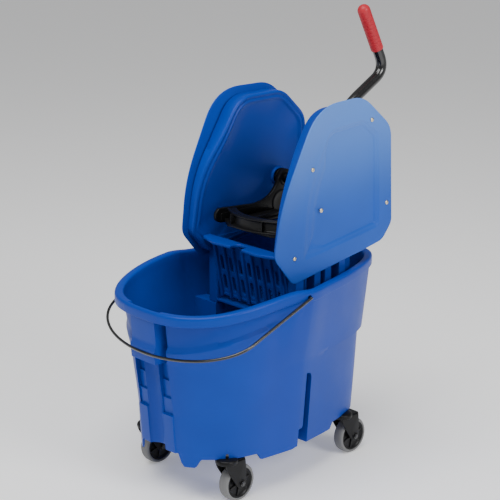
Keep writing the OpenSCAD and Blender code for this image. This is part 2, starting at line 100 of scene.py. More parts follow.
def bump(tree, source, strength, distance=0.0002):
    return added(tree, "ShaderNodeBump", Height=source, Strength=strength, Distance=distance)["Normal"]


def moulded(name, colour, rough, grain=900, mottle=0.06, relief=0.25, sheen=0.0, coat=0.0, painted_highlight=None):
    """Moulded plastic: a fine satin grain, slow changes of tone and of roughness."""
    material, tree, shader = blank(name)
    base = ramp(tree, noise(tree, 9, 4), colour, (0.3, 1 - mottle), (0.7, 1 + mottle))
    # painted highlight: the colour pales towards the top, in place of the light falling there
    if painted_highlight:
        base = paler_upwards(tree, base, painted_highlight)
    smudge = spread(tree, noise(tree, 26, 5), rough - 0.06, rough + 0.07)
    satin = bump(tree, noise(tree, grain, 2), relief)
    wired(tree, shader, Base_Color=base, Roughness=smudge, Normal=satin, Specular_IOR_Level=0.2,
          Sheen_Weight=sheen, Sheen_Roughness=0.5, Coat_Weight=coat, Coat_Roughness=0.18)
    return material


def paler_upwards(tree, base, pale):
    """Painted highlight: the colour turns paler towards the top of the wringer, standing in for the
    light its covers catch.
    """
    place = added(tree, "ShaderNodeTexCoord")["Object"]
    height = tree.nodes.new("ShaderNodeMapRange")
    height.interpolation_type = "SMOOTHSTEP"
    wired(tree, height, Value=added(tree, "ShaderNodeSeparateXYZ", Vector=place)["Z"], From_Min=0.50,
          From_Max=0.76)
    mix = tree.nodes.new("ShaderNodeMix")
    mix.data_type = "RGBA"
    return wired(tree, mix, Factor=height.outputs["Result"], A=base, B=(*pale, 1))["Result"]


def coated_steel(name, colour, rough):
    """Gloss paint over drawn steel: long faint draw marks and a few dull patches."""
    material, tree, shader = blank(name)
    base = ramp(tree, noise(tree, 30, 4), colour, (0.35, 0.8), (0.75, 1.5))
    dull = spread(tree, noise(tree, 60, 5), rough - 0.06, rough + 0.1)
    marks = bump(tree, noise(tree, 300, 3, (1, 1, 0.1)), 0.12)
    wired(tree, shader, Base_Color=base, Roughness=dull, Normal=marks, Coat_Weight=0.6,
          Coat_Roughness=0.12)
    return material


def plated(name, colour, rough):
    """Zinc plate, mottled and slightly uneven."""
    material, tree, shader = blank(name)
    tone = noise(tree, 220, 4)
    wired(tree, shader, Base_Color=ramp(tree, tone, colour, (0.3, 0.75), (0.7, 1.1)),
          Roughness=spread(tree, tone, rough - 0.05, rough + 0.12),
          Normal=bump(tree, noise(tree, 700, 2), 0.15, 0.0001), Metallic=1.0)
    return material


BLUE = moulded("bucket_blue", (0.002, 0.040, 0.33), 0.38)
WRINGER = moulded("wringer_blue", (0.002, 0.042, 0.34), 0.38)
# painted light: the covers are the wringer's plastic, and their paler blue is a lit copy standing in for
# the light and sheen they catch
COVER = moulded("cover_blue_lit", (0.008, 0.075, 0.41), 0.44, grain=1300, sheen=0.1,
                painted_highlight=(0.085, 0.22, 0.62))
BLACK = moulded("black_nylon", (0.006, 0.006, 0.0065), 0.34, grain=700, mottle=0.2)
PAINT = coated_steel("black_paint", (0.004, 0.004, 0.0045), 0.2)
RED = moulded("red_vinyl", (0.46, 0.022, 0.035), 0.42, grain=500, mottle=0.08, coat=0.15)
TYRE = moulded("grey_tread", (0.17, 0.17, 0.17), 0.55, grain=600, mottle=0.12, relief=0.4)
ZINC = plated("plated_screws", (0.72, 0.62, 0.44), 0.28)

# ---- mesh helpers

SHARP = 35  # degrees past which an edge is shaded sharp
BEVEL_FROM = 30  # degrees past which an edge is rounded


def smooth(a, b, v):
    t = min(1.0, max(0.0, (v - a) / (b - a)))
    return t * t * (3 - 2 * t)


def lerp(a, b, t):
    return a + (b - a) * t


def fan(n, sweep=math.pi):
    """Angles from 0 to sweep in n equal steps."""
    return [sweep * k / n for k in range(n + 1)]


def piece(name, verts, faces, material, sharp=SHARP):
    """A mesh object from points in millimetres, shaded smooth except across sharp edges."""
    mesh = bpy.data.meshes.new(name)
    mesh.from_pydata([(x * MM, y * MM + BASE_Y, z * MM) for x, y, z in verts], [], faces)
    work = bmesh.new()
    work.from_mesh(mesh)
    bmesh.ops.recalc_face_normals(work, faces=work.faces)
    work.to_mesh(mesh)
    work.free()
    shade(mesh, sharp)
    mesh.materials.append(material)
    obj = bpy.data.objects.new(name, mesh)
    bpy.context.scene.collection.objects.link(obj)
    return obj


def shade(mesh, sharp):
    mesh.polygons.foreach_set("use_smooth", [True] * len(mesh.polygons))
    mesh.set_sharp_from_angle(angle=math.radians(sharp))


def apply(obj):
    """Replaces an object's mesh with what its modifiers make of it."""
    bpy.context.view_layer.update()
    graph = bpy.context.evaluated_depsgraph_get()
    mesh = bpy.data.meshes.new_from_object(obj.evaluated_get(graph), depsgraph=graph)
    old = obj.data
    obj.modifiers.clear()
    obj.data = mesh
    bpy.data.meshes.remove(old)
    return obj


def bevelled(obj, width, segments=3):
    """Rounds the sharp edges, and applies it. Width is in millimetres."""
    modifier = obj.modifiers.new("edges", "BEVEL")
    modifier.width = width * MM
    modifier.segments = segments
    modifier.limit_method = "ANGLE"
    modifier.angle_limit = math.radians(BEVEL_FROM)
    modifier.harden_normals = False
    apply(obj)
    shade(obj.data, SHARP)
    return obj


def cut(obj, *tools):
    """Takes the tools out of obj, one after another."""
    for tool in tools:
        modifier = obj.modifiers.new("cut", "BOOLEAN")
        modifier.operation = "DIFFERENCE"
        modifier.solver = "EXACT"
        modifier.object = tool
        apply(obj)
        drop(tool)
    return obj


def drop(obj):
    mesh = obj.data
    bpy.data.objects.remove(obj)
    bpy.data.meshes.remove(mesh)


def joined(objs, name):
    """One object from several of one material."""
    first = objs[0]
    work = bmesh.new()
    for obj in objs:
        work.from_mesh(obj.data)
    work.to_mesh(first.data)
    work.free()
    for obj in objs[1:]:
        drop(obj)
    first.name = name
    first.data.name = name
    return first


def grid(rings, round_trip=False):
    """Points and faces of a skin through equal closed rings, capped unless it comes round."""
    n = len(rings[0])
    verts = [p for ring in rings for p in ring]
    faces = []
    last = len(rings) - 1
    for r in range(last + (1 if round_trip else 0)):
        up = (r + 1) % len(rings)
        for i in range(n):
            j = (i + 1) % n
            faces.append((r * n + i, r * n + j, up * n + j, up * n + i))
    if not round_trip:
        for r in (0, last):
            faces.append(tuple(r * n + i for i in range(n)))
    return verts, faces


def slab(name, rings, material, bevel, segments):
    obj = piece(name, *grid(rings), material)
    return bevelled(obj, bevel, segments) if bevel else obj


def prism(name, outline, x0, x1, material, bevel=1.0, segments=3):
    """A plate with an outline in the YZ plane, between two stations across the width."""
    rings = [[(x, y, z) for y, z in outline] for x in (x0, x1)]
    return slab(name, rings, material, bevel, segments)


def upright(name, outline, z0, z1, material, bevel=1.0, segments=3):
    """The same with a plan outline, between two heights."""
    rings = [[(x, y, z) for x, y in outline] for z in (z0, z1)]
    return slab(name, rings, material, bevel, segments)


def facing(name, outline, y0, y1, material, bevel=1.0, segments=3):
    """The same with an outline in the XZ plane, between two stations along the length."""
    rings = [[(x, y, z) for x, z in outline] for y in (y0, y1)]
    return slab(name, rings, material, bevel, segments)


def block(name, low, high, material, bevel=1.0):
    x0, y0, z0 = low
    x1, y1, z1 = high
    return upright(name, [(x0, y0), (x1, y0), (x1, y1), (x0, y1)], z0, z1, material, bevel)


def turned(name, profile, centre, material, axis="x", n=64, sharp=32, hollow=False):
    """A body of revolution. The profile is (place along the axis, radius), closed if hollow."""
    cx, cy, cz = centre
    rings = []
    for s, r in profile:
        ring = []
        for i in range(n):
            a = 2 * math.pi * i / n
            u, v = r * math.cos(a), r * math.sin(a)
            ring.append((cx + s, cy + u, cz + v) if axis == "x" else (cx + u, cy + v, cz + s))
        rings.append(ring)
    return piece(name, *grid(rings, round_trip=hollow), material, sharp)


def rounded(profile, cut_size, steps=4):
    """A polyline with its inner corners eased, for profiles and outlines."""
    out = [profile[0]]
    for a, v, b in zip(profile, profile[1:], profile[2:]):
        out += corner(a, v, b, cut_size, steps)
    return out + [profile[-1]]


def corner(a, v, b, cut_size, steps):
    """A curve from a's side of v to b's, leaving each side cut_size before the corner."""
    a, v, b = Vector(a), Vector(v), Vector(b)
    near = min(cut_size, (a - v).length * 0.49)
    far = min(cut_size, (b - v).length * 0.49)
    start = v + near * (a - v).normalized()
    end = v + far * (b - v).normalized()
    points = []
    for k in range(steps + 1):
        t = k / steps
        points.append(tuple((1 - t) ** 2 * start + 2 * t * (1 - t) * v + t * t * end))
    return points


def eased(outline, steps=8):
    """A closed outline of (y, z, easing) corners."""
    points = []
    n = len(outline)
    for i, (y, z, cut_size) in enumerate(outline):
        before, after = outline[i - 1][:2], outline[(i + 1) % n][:2]
        points += corner(before, (y, z), after, cut_size, steps)
    return points


def swept(name, path, radius, material, n, flat=(1, 0, 0)):
    """A round bar with eased ends, along a path in one plane, whose normal is flat."""
    flat = Vector(flat).normalized()
    path = [Vector(p) for p in path]
    head = (path[0] - path[1]).normalized()
    tail = (path[-1] - path[-2]).normalized()
    edge = radius * 0.25
    stations = [(path[0], radius - edge), (path[0] - head * edge, radius)]
    stations += [(p, radius) for p in path[1:-1]]
    stations += [(path[-1] - tail * edge, radius), (path[-1], radius - edge)]
    rings = []
    for i, (p, r) in enumerate(stations):
        before = stations[max(i - 1, 0)][0]
        after = stations[min(i + 1, len(stations) - 1)][0]
        side = (after - before).normalized().cross(flat)
        rings.append([tuple(p + r * (math.cos(a) * flat + math.sin(a) * side))
                      for a in fan(n, 2 * math.pi)[:-1]])
    return piece(name, *grid(rings), material)


def mirrored(obj, name):
    """A copy on the other side of the middle plane, with its faces turned back outwards."""
    mesh = obj.data.copy()
    mesh.transform(Matrix.Scale(-1, 4, (1, 0, 0)))
    mesh.flip_normals()
    copy = bpy.data.objects.new(name, mesh)
    bpy.context.scene.collection.objects.link(copy)
    return copy


def settle(obj, body, slot, *nodes):
    """Puts a finished piece on its body in place of CAD nodes, which it hides; the slot is not used."""
    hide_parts(*nodes)
    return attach(obj, body)


# ---- bucket

RIM_HALF, SWELL = 191, 4  # half width of the rim, and what its sides bulge
FRONT_LEN, REAR_LEN = 263, 303  # from the widest station to the rim's ends
# the rim's top at the front, its rise towards the pivots and its fall behind them, its depth
RIM_FRONT_Z, RIM_RISE, RIM_DROP, RIM_DEEP = 393, 24, 5, 20
RIM_OVER, WALL = 14, 4  # how far the rim stands out from the wall
SKIRT_Z, FLOOR_Z, FLOOR_T = 78, 110, 5
SIDE_DRAFT, FRONT_DRAFT, REAR_DRAFT = 0.0925, 0.08, 0.173
SHELF_Z, SHELF_X, SHELF_REAR = 312, 104, 218
ROUND = 2.6  # power of the rounded plan at the front
REAR_ROUND = 5  # the same at the squarer rear
ACROSS = math.radians(46.6)  # direction in which the front corners are measured
CORNER_REACH = 277  # the corners' reach in that direction, at the rim
CORNER_DRAFTS = ((193, 0.12), (88, 0.26), (33, 0.6))  # (down to, draft) below the rim
CORNER_POWER = 20  # how sharply the cut-back sets in
REAR_TAPER, TAPER_DRAFT, TAPER_POWER = 0.42, 0.0011, 1.3  # narrowing of the sides at the rear

FLAT_FRONT, FLAT_REAR = 64, 70  # half widths of the parts counted across the width
SIDE_FROM, SIDE_TO = -120, 120  # stretch of the sides counted along the length

GROOVE = (4, 33)  # round-topped groove in each side
GROOVE_TOP, GROOVE_DEEP = 221, 26
REAR_STEP_Z, REAR_STEP = 264, 8  # below this the rear part of the wall steps inwards
NOSE_HALF = 50  # half width of the nose at the pouring end
BLOCK_HALF, BLOCK_Z = 35, 287  # block at its top, flush with the rim
BLOCK_OUT = 12.4  # how far the block stands out from the wall
SLOT_DEEP, SLOT_BELOW = 20, 8  # dark slots beside the block, and the gap above them
STRIP_IN = 22  # where the channel ends and the ladder starts
LADDER = ((250, 17), (214, 13), (180, 9), (0, 3))  # (above, depth) of its steps
CHANNEL_R, CHANNEL_AHEAD = 27, 12
SPOUT_HALF, SPOUT_DEEP = 45, 4.5  # the dip in the rim at the pouring end
ROW_FROM, ROW_GAP, ROWS = 104, 8, 25  # rows of points up the wall
BOSS_DEEP = 22  # how far the nose stands into the bucket
# the rolled rim from its outer lower edge, as (inwards from the outline, above its lower edge)
RIM_OUTSIDE = (
    (1, 0), (0.2, 0.6), (0, 1.6), (0, 6), (0, 10), (0, 14.4), (0.3, 16), (1, 17.6), (2.2, 18.9),
    (3.8, 19.8), (5.6, 20), (7, 20))
RIM_INSIDE = ((8, 20), (11, 20), (13.6, 19.6), (15.8, 18.6), (17.3, 17), (18, 14.8))


def rim_z(y):
    return RIM_FRONT_Z + RIM_RISE * smooth(-FRONT_LEN, -20, y) - RIM_DROP * smooth(-37, 25, y)


def swell(y):
    """The bulge of the sides, which fades to nothing 75 mm either way."""
    return SWELL * math.cos(math.radians(min(90, abs(y) * 1.2))) ** 2


def cut_back(x, y, h, d):
    """A point of a front corner of the wall, drawn back softly below the rim."""
    most = CORNER_REACH + RIM_OVER - max(d, RIM_OVER)
    most -= sum(draft * min(h, down) for down, draft in CORNER_DRAFTS)
    across = x * math.cos(ACROSS) - y * math.sin(ACROSS)
    factor = (1 + (across / most) ** CORNER_POWER) ** (-1 / CORNER_POWER)
    return x * factor, y * factor


def rear_half(w, u, taper):
    """Half the bucket's width at the part u of the way to its rear end."""
    return w * (1 - taper * u ** TAPER_POWER) * (1 - u ** REAR_ROUND) ** (1 / REAR_ROUND)


def plan(kind, s, h, d):
    """Point of the plan outline, h below the rim and d inwards, at station s of a stretch."""
    w = RIM_HALF - SIDE_DRAFT * h - d
    if kind in ("front", "front_corner"):
        reach = FRONT_LEN - FRONT_DRAFT * h - d
        if kind == "front" and s < NOSE_HALF - 0.5:
            n = ROUND + 0.0028 * h
            return s, -reach * (1 - (s / w) ** n) ** (1 / n)
        if kind == "front":
            return cut_back(s, -reach * (1 - min(1, s / w) ** ROUND) ** (1 / ROUND), h, d)
        start = math.acos((FLAT_FRONT / w) ** (ROUND / 2))
        end = math.asin((-SIDE_FROM / reach) ** (ROUND / 2))
        a = lerp(start, end, s)
        return cut_back(w * math.cos(a) ** (2 / ROUND), -reach * math.sin(a) ** (2 / ROUND), h, d)
    if kind == "side" and s < 0:
        reach = FRONT_LEN - FRONT_DRAFT * h - d
        u = -s / reach
        return cut_back(w * (1 - u ** ROUND) ** (1 / ROUND) + swell(s) * (1 - u), s, h, d)
    reach = REAR_LEN - REAR_DRAFT * h - d
    taper = REAR_TAPER - TAPER_DRAFT * h
    if kind == "side":
        u = s / reach
        return rear_half(w, u, taper) + swell(s) * (1 - u), s
    narrow = w * (1 - taper)
    if kind == "rear":
        u = (1 - min(1, s / narrow) ** REAR_ROUND) ** (1 / REAR_ROUND)
        return rear_half(w, u, taper), u * reach
    start = math.asin((SIDE_TO / reach) ** (REAR_ROUND / 2))
    end = math.acos((FLAT_REAR / narrow) ** (REAR_ROUND / 2))
    u = math.sin(lerp(start, end, s ** 1.25)) ** (2 / REAR_ROUND)
    return rear_half(w, u, taper), u * reach


def stations():
    """Stations of half the bucket, from the middle of the front to the middle of the rear."""
    edge = 0.9
    front = [0, 4, 8, 12, 15.5, 18.5, 20.5, STRIP_IN, STRIP_IN + edge, 26, 30, BLOCK_HALF,
             BLOCK_HALF + edge, 40, SPOUT_HALF - 1, SPOUT_HALF, 47.5, NOSE_HALF - edge, NOSE_HALF,
             54, 59, FLAT_FRONT]
    out = [("front", x) for x in front]
    out += [("front_corner", i / 30) for i in range(1, 30)]
    y0, y1 = GROOVE
    side = [SIDE_FROM + 8 * i for i in range(31)]
    side += [-98, -95, -91, -87, -84, y0, y0 + edge, y1 - edge, y1, 21, 22, 48.5, 49.4, 110, 113, 119]
    side += [y0 + (y1 - y0) * k / 12 for k in range(1, 12)]
    out += [("side", y) for y in sorted(set(side))]
    out += [("rear_corner", i / 32) for i in range(1, 32)]
    out += [("rear", x) for x in (FLAT_REAR, FLAT_REAR - 1, 64, 60, 52, 51, 44, 36, 28, 20, 12, 6, 0)]
    return out


def skirt_edge(kind, s):
    """Height of the lowest edge: arches over the casters, with tabs between them."""
    x, y = plan(kind, s, 280, RIM_OVER)
    high, low, middle = 93, SKIRT_Z, 102
    if x < 105 and y < -175:
        tab = low - 3
        return lerp(middle, tab, smooth(55, 60, x)) if x < 75 else lerp(tab, high, smooth(80, 92, x))
    if y < 0:
        return lerp(high, low, smooth(-98, -84, y))
    if kind == "side":
        return lerp(low + 2, high, smooth(110, 122, y))
    return lerp(low, high, smooth(51, 62, x))


def crease_z(y):
    """The curved crease under the rim, high at the bail pivots and low at the front."""
    top = rim_z(y) - RIM_DEEP
    if y > -20:
        return top - 4
    return min(top - 4, 314 + 50 * (1 - min(1, -y / 242) ** 1.6))


def flush(y):
    """1 where the wall comes up flush with the rim beside the pivots and the wringer."""
    return smooth(-75, -30, y) * (1 - smooth(232, 262, y))


def rear_step(y, z):
    """How far the wall's rear part has stepped inwards."""
    return REAR_STEP * smooth(40, 200, y) if z < REAR_STEP_Z else 0


def outer_inset(y, z, crease, top):
    """How far inside the rim's outline the wall's outer face is."""
    d = RIM_OVER
    d -= 12.5 * flush(y) * min(1, max(0, (z - REAR_STEP_Z) / (top - REAR_STEP_Z)))
    d += rear_step(y, z)
    ahead = smooth(-30, -110, y)
    d += ahead * (3 if z > crease + 2 else -2.5 * smooth(170, 300, z))
    return d


def recess(kind, s, z, groove_z, top):
    """Depth of the moulded features below the wall's outer face."""
    if kind == "side" and GROOVE[0] + 0.5 < s < GROOVE[1] - 0.5 and z < groove_z - 0.4:
        return GROOVE_DEEP
    if kind != "front" or s > NOSE_HALF - 0.5:
        return 0
    if z > BLOCK_Z:
        if s <= BLOCK_HALF + 0.1:
            return -BLOCK_OUT
        return SLOT_DEEP if z < top - SLOT_BELOW else 0
    if s <= STRIP_IN + 0.1:
        return max(3.0, 3 + math.sqrt(CHANNEL_R ** 2 - s ** 2) - CHANNEL_AHEAD)
    return next(deep for low, deep in LADDER if z > low)


def groove_top(y):
    """Height of the groove's round top at station y, above its springing line."""
    y0, y1 = GROOVE
    r = (y1 - y0) / 2
    off = y - (y0 + y1) / 2
    return math.sqrt(r * r - off * off) if abs(off) < r else 0


def outer_heights():
    """Heights of the rows of the outer wall, in pairs where a feature has a level edge."""
    rows = [ROW_FROM + ROW_GAP * i for i in range(ROWS)]
    for z in [step[0] for step in LADDER[:-1]] + [REAR_STEP_Z, BLOCK_Z]:
        rows = [r for r in rows if abs(r - z) > 3]
        rows += [z - 0.5, z + 0.6]
    rows = [r for r in rows if abs(r - GROOVE_TOP) > 3] + [GROOVE_TOP - 0.8, GROOVE_TOP]
    return sorted(rows)


def column(kind, s):
    """One column of points, from under the floor, round the skirt and rim, to the floor."""
    def at(h, d, z, rec=0.0):
        x, y = plan(kind, s, h, d)
        if kind == "front":
            return x, y + rec, z
        return x - rec, y, z

    def depth(z):
        return max(0, RIM_FRONT_Z - RIM_DEEP - z)

    y_rim = plan(kind, s, 0, RIM_OVER)[1]
    top = rim_z(y_rim) - RIM_DEEP
    crease = crease_z(y_rim)
    rise = groove_top(s) if kind == "side" else 0
    groove_z = GROOVE_TOP + rise
    low = skirt_edge(kind, s)
    points = []

    def wall_point(z):
        y = plan(kind, s, depth(z), RIM_OVER)[1]
        d = outer_inset(y, z, crease, top)
        return at(depth(z), d, z, recess(kind, s, z, groove_z, top))

    # under the floor and down the inside of the skirt
    y_low = plan(kind, s, depth(low), RIM_OVER)[1]
    d_low = outer_inset(y_low, low, crease, top) + WALL
    rec_low = recess(kind, s, low, groove_z, top)
    bottom = FLOOR_Z - FLOOR_T
    points.append(at(depth(bottom), d_low, bottom, rec_low))
    for d, z in ((d_low, low + 1), (d_low - 1, low), (d_low - WALL + 1, low)):
        points.append(at(depth(low), d, z, rec_low))
    # up the outside
    points += [wall_point(low + 1), wall_point((low + bottom) / 2)]
    for z in outer_heights():
        z = max(z, low + 3)
        if z >= GROOVE_TOP:
            z += rise * max(0, 1 - (z - GROOVE_TOP) / 75)
        elif z > GROOVE_TOP - 1:
            z = groove_z - 0.8
        elif z > GROOVE_TOP - 40:
            z += rise * 0.8 * (1 - (GROOVE_TOP - z) / 40)
        points.append(wall_point(z))
    start = ROW_FROM + ROW_GAP * (ROWS - 1) + 0.6
    for t in (0.3, 0.6, 0.85, 1):
        points.append(wall_point(lerp(start, crease, t)))
    for t in (0.12, 0.25, 0.5):
        points.append(wall_point(lerp(crease + 2.1 * (1 - t), top, t)))
    for t, z in ((0.7, top - SLOT_BELOW - 0.5), (0.85, top - SLOT_BELOW + 0.4), (1, top)):
        points.append(wall_point(max(z, lerp(crease, top, t))))
    # the rolled rim
    d_top = outer_inset(y_rim, top, crease, top) + min(0, recess(kind, s, top, groove_z, top))
    x_rim = plan(kind, s, 0, RIM_OVER)[0]
    spout = smooth(SPOUT_HALF + 0.5, SPOUT_HALF - 1.5, x_rim) if kind == "front" else 0
    points.append(at(0, lerp(d_top, 1, 0.6), top))
    for profile, drop_z in ((RIM_OUTSIDE, 0), (RIM_INSIDE, SPOUT_DEEP * spout)):
        for d, z in profile:
            x, y = plan(kind, s, 0, d)
            points.append((x, y, rim_z(y) - RIM_DEEP + z - drop_z))
    # down the inside
    d_inside = RIM_OVER + WALL
    front = kind in ("front", "front_corner")
    boss = BOSS_DEEP * smooth(84, 62, x_rim) if front else 0
    rim_inside = rim_z(plan(kind, s, 0, d_inside)[1]) - RIM_DEEP + RIM_INSIDE[-1][1]

    def inside_point(z, extra=0.0):
        y = plan(kind, s, depth(z), d_inside)[1]
        d = d_inside + extra + 3 * smooth(-30, -110, y) * smooth(top, top - 20, z)
        d += rear_step(y, z)
        x, y = plan(kind, s, depth(z), d)
        if front:
            y += boss * smooth(top + 4, top - 14, z)
        if z < SHELF_Z + 0.4:
            if kind == "side" and 21.5 < s < 49:
                x = SHELF_X
            if kind == "rear" and s < FLAT_REAR - 0.5:
                y = SHELF_REAR
        return x, y, z

    for t in (0.12, 0.3, 0.6):
        points.append(inside_point(lerp(rim_inside, SHELF_Z + 10, t)))
    for z in (SHELF_Z + 8, SHELF_Z + 0.8, SHELF_Z, SHELF_Z - 1, 296, 280, REAR_STEP_Z + 1,
              REAR_STEP_Z - 1, 240, 200, 160, 130, 119):
        points.append(inside_point(z))
    for extra, z in ((0.8, 115.5), (2.4, 112.6), (5, 110.8), (8, FLOOR_Z)):
        points.append(inside_point(z, extra))
    return points


def swivel_at(c):
    """Where a caster turns, in the plan."""
    x, y, z = JOINT[f"swivel_{c}_turn"]["pos_m"]
    return x / MM, (y - BASE_Y) / MM


def bucket():
    half = [column(kind, s) for kind, s in stations()]
    ring = half + [[(-x, y, z) for x, y, z in c] for c in half[-2:0:-1]]
    rows = [list(row) for row in zip(*ring)]
    body = piece("bucket_body", *grid(rows), BLUE, sharp=40)
    holes = []
    for side in (-1, 1):
        slot = [(math.cos(a) * 5.2, math.sin(a) * 5.2 - (4 if math.sin(a) < 0 else 0))
                for a in fan(24, 2 * math.pi)[:-1]]
        rings = [[(side * x, PIVOT_Y + u, PIVOT_Z + v) for u, v in slot] for x in (189, 205)]
        holes.append(piece("hole", *grid(rings), PAINT))
    cut(body, *holes)
    shade(body.data, 40)
    parts = [body]
    for c in CORNERS:
        profile = [(109, 6.4), (150, 6.4), (154, 6), (156, 5), (156.4, 3)]
        parts.append(turned("socket", profile, (*swivel_at(c), 0), BLUE, "z"))
    settle(joined(parts, "bucket_body"), "bucket", "bucket_plastic", "bucket_shell")


BAIL_DROOP = math.radians(21)  # how far the bail hangs below level at rest
BAIL_REACH, BOW_FROM = 269, 158  # its length, and where its bow starts
BOW_X, BAIL_ARM_X = 197, 198.3
WIRE_R = 3


def bail():
    def at(x, s):
        return x, PIVOT_Y - s * math.cos(BAIL_DROOP), PIVOT_Z - s * math.sin(BAIL_DROOP)

    bow = [at(BOW_X * math.cos(a), BOW_FROM + (BAIL_REACH - BOW_FROM) * math.sin(a)) for a in fan(64)]
    arms = [at(lerp(BAIL_ARM_X, BOW_X, smooth(0, 1, t)), BOW_FROM * t)
            for t in (0, 0.06, 0.2, 0.4, 0.6, 0.8)]
    left = [(-x, y, z) for x, y, z in arms][::-1]
    flat = (0, -math.sin(BAIL_DROOP), math.cos(BAIL_DROOP))
    parts = [swept("bail_bow", arms + bow + left, WIRE_R, PAINT, 16, flat)]
    for side in (-1, 1):
        pin = [(188, 1.5), (188.5, 3), (196.5, 3), (199, 3.1), (200.4, 2.6), (201, 1.4)]
        parts.append(turned("pin", [(side * s, r) for s, r in pin], (0, PIVOT_Y, PIVOT_Z), PAINT, n=20))
    settle(joined(parts, "bail_bow"), "bail", "black_steel", "bail_wire")


# ---- wringer

# outlines as (y, z, easing) of their corners
COVER_LINE = [
    (-43, 470, 14), (-27, 575, 60), (60, 750, 62), (199, 752, 28), (282, 684, 22),
    (292, 484, 10), (265, 451, 12), (218, 442, 30), (7, 409, 12)]
PANEL_LINE = [
    (39, 456, 6), (49, 590, 60), (109, 694, 16), (199, 702, 10), (241, 672, 8), (249, 486, 8)]
SHELL_LINE = [
    (-29, 470, 12), (-12, 580, 55), (86, 736, 38), (211, 738, 25), (278, 676, 22),
    (283, 498, 10), (262, 464, 10), (222, 455, 25), (10, 424, 10)]
SCREWS = [(224, 703), (58, 628), (83, 544), (275, 527), (11, 461)]
MIDDLE = (146, 580)  # middle of the side panels
COVER_X, COVER_T, SKIN_X = 131.8, 3, 100
FACE_X = COVER_X + COVER_T  # the cover's outer face
PANEL_DEEP = 6.5  # depth of its recessed panel
# the recess's side, as (inwards from its outline, more where it is soft, below the face)
PANEL_SIDE = (
    (-6, 0, 0), (-5, 1, 0.08), (-4, 2, 0.4), (-1.4, 8, 2.7), (-0.8, 9, 2.95), (2.4, 13, 3.1),
    (3.2, 14, 3.5), (5.4, 20, 6.0), (6.2, 22, 6.4), (7, 24, PANEL_DEEP))
SHELL_SPLAY = 16  # how far the shells spread towards the front
RAYS = 300  # points round each of the panels' outlines


def on_rays(outline):
    """Where the rays from the middle of the panel meet an outline, one for each direction."""
    cy, cz = MIDDLE
    polar = sorted((math.atan2(z - cz, y - cy), math.hypot(y - cy, z - cz)) for y, z in outline)
    polar = [(polar[-1][0] - 2 * math.pi, polar[-1][1])] + polar + [
        (polar[0][0] + 2 * math.pi, polar[0][1])]
    points = []
    k = 0
    for i in range(RAYS):
        a = -math.pi + 2 * math.pi * (i + 0.5) / RAYS
        while polar[k + 1][0] < a:
            k += 1
        (a0, r0), (a1, r1) = polar[k], polar[k + 1]
        p = Vector((math.cos(a0), math.sin(a0))) * r0
        q = Vector((math.cos(a1), math.sin(a1))) * r1
        ray = Vector((math.cos(a), math.sin(a)))
        edge = q - p
        along = (p.x * edge.y - p.y * edge.x) / (ray.x * edge.y - ray.y * edge.x)
        points.append((cy + ray.x * along, cz + ray.y * along))
    return points


def inwards(points, distance):
    """Each point moved towards the middle so that its outline shrinks by about distance."""
    cy, cz = MIDDLE
    out = []
    for i, (y, z) in enumerate(points):
        (ay, az), (by, bz) = points[i - 1], points[(i + 1) % len(points)]
        edge = Vector((by - ay, bz - az)).normalized()
        ray = Vector((y - cy, z - cz))
        length = ray.length
        ray /= length
        crossing = abs(ray.x * edge.y - ray.y * edge.x)
        reach = length - distance / max(0.55, crossing)
        out.append((cy + ray.x * reach, cz + ray.y * reach))
    return out


def between(a, b, t):
    return [(lerp(p[0], q[0], t), lerp(p[1], q[1], t)) for p, q in zip(a, b)]


def flare(y, z):
    """How far the cover's border stands out, most at its upper front corner."""
    return 9 * smooth(60, -20, 0.55 * y - 0.45 * (z - 644))


def faded(t):
    """What is left of the flare the part t of the way from the border to the recess."""
    return (1 - t) ** 2 * (1 + 1.2 * t)


def front_soft(y, z):
    """1 towards the front edge of a panel, where its slope is wide, and 0 elsewhere."""
    a = math.atan2(z - MIDDLE[1], y - MIDDLE[0])
    return smooth(math.radians(112), math.radians(140), abs(a))


def cover():
    edge = on_rays(eased(COVER_LINE))
    panel = on_rays(eased(PANEL_LINE))
    middle = [MIDDLE] * RAYS
    soft = [front_soft(*p) for p in panel]

    def ring(points, x, bend=0.0):
        return [(x + flare(*e) * bend, y, z) for (y, z), e in zip(points, edge)]

    def softened(reach, wide):
        """The recess's outline drawn in by reach, and by wide more where it is soft."""
        near, far = inwards(panel, reach), inwards(panel, reach + wide)
        return [(lerp(p[0], q[0], t), lerp(p[1], q[1], t)) for p, q, t in zip(near, far, soft)]

    start = inwards(edge, 1.3)
    rim = inwards(panel, PANEL_SIDE[0][0])
    front = [
        ring(edge, FACE_X - 1, 1), ring(inwards(edge, 0.4), FACE_X - 0.3, 1), ring(start, FACE_X, 1)]
    front += [ring(between(start, rim, k / 12), FACE_X, faded(k / 12)) for k in range(1, 12)]
    front += [ring(softened(reach, wide), FACE_X - down) for reach, wide, down in PANEL_SIDE]
    low = softened(*PANEL_SIDE[-1][:2])
    front += [ring(between(low, middle, t), FACE_X - PANEL_DEEP) for t in (0.15, 0.4, 0.7, 0.9, 0.985)]
    # the back, a wall's thickness behind the face
    back = [ring(between(low, middle, t), FACE_X - PANEL_DEEP - 2.6) for t in (0.985, 0.7, 0.3, 0)]
    back.append(ring(inwards(panel, -4), COVER_X))
    back += [ring(between(start, rim, t), COVER_X, faded(t)) for t in (0.7, 0.4, 0.1)]
    back += [
        ring(inwards(edge, 1), COVER_X, 1), ring(inwards(edge, 0.3), COVER_X + 0.2, 1),
        ring(edge, COVER_X + 1, 1)]
    obj = piece("cover_panel_right", *grid(front[::-1] + back[::-1]), COVER, sharp=50)
    obj.data.materials.append(WRINGER)
    front_cap = len(obj.data.polygons) - 2
    for polygon in obj.data.polygons[len(front) * RAYS:]:
        polygon.material_index = 0 if polygon.index == front_cap else 1
    dimples = [
        turned("dimple", [(-0.8, 3.6), (0.6, 6.0), (1.2, 7), (8, 7)],
               (FACE_X + place_flare(*p) - 0.4, *p), COVER, n=32)
        for p in SCREWS]
    return cut(obj, *dimples)


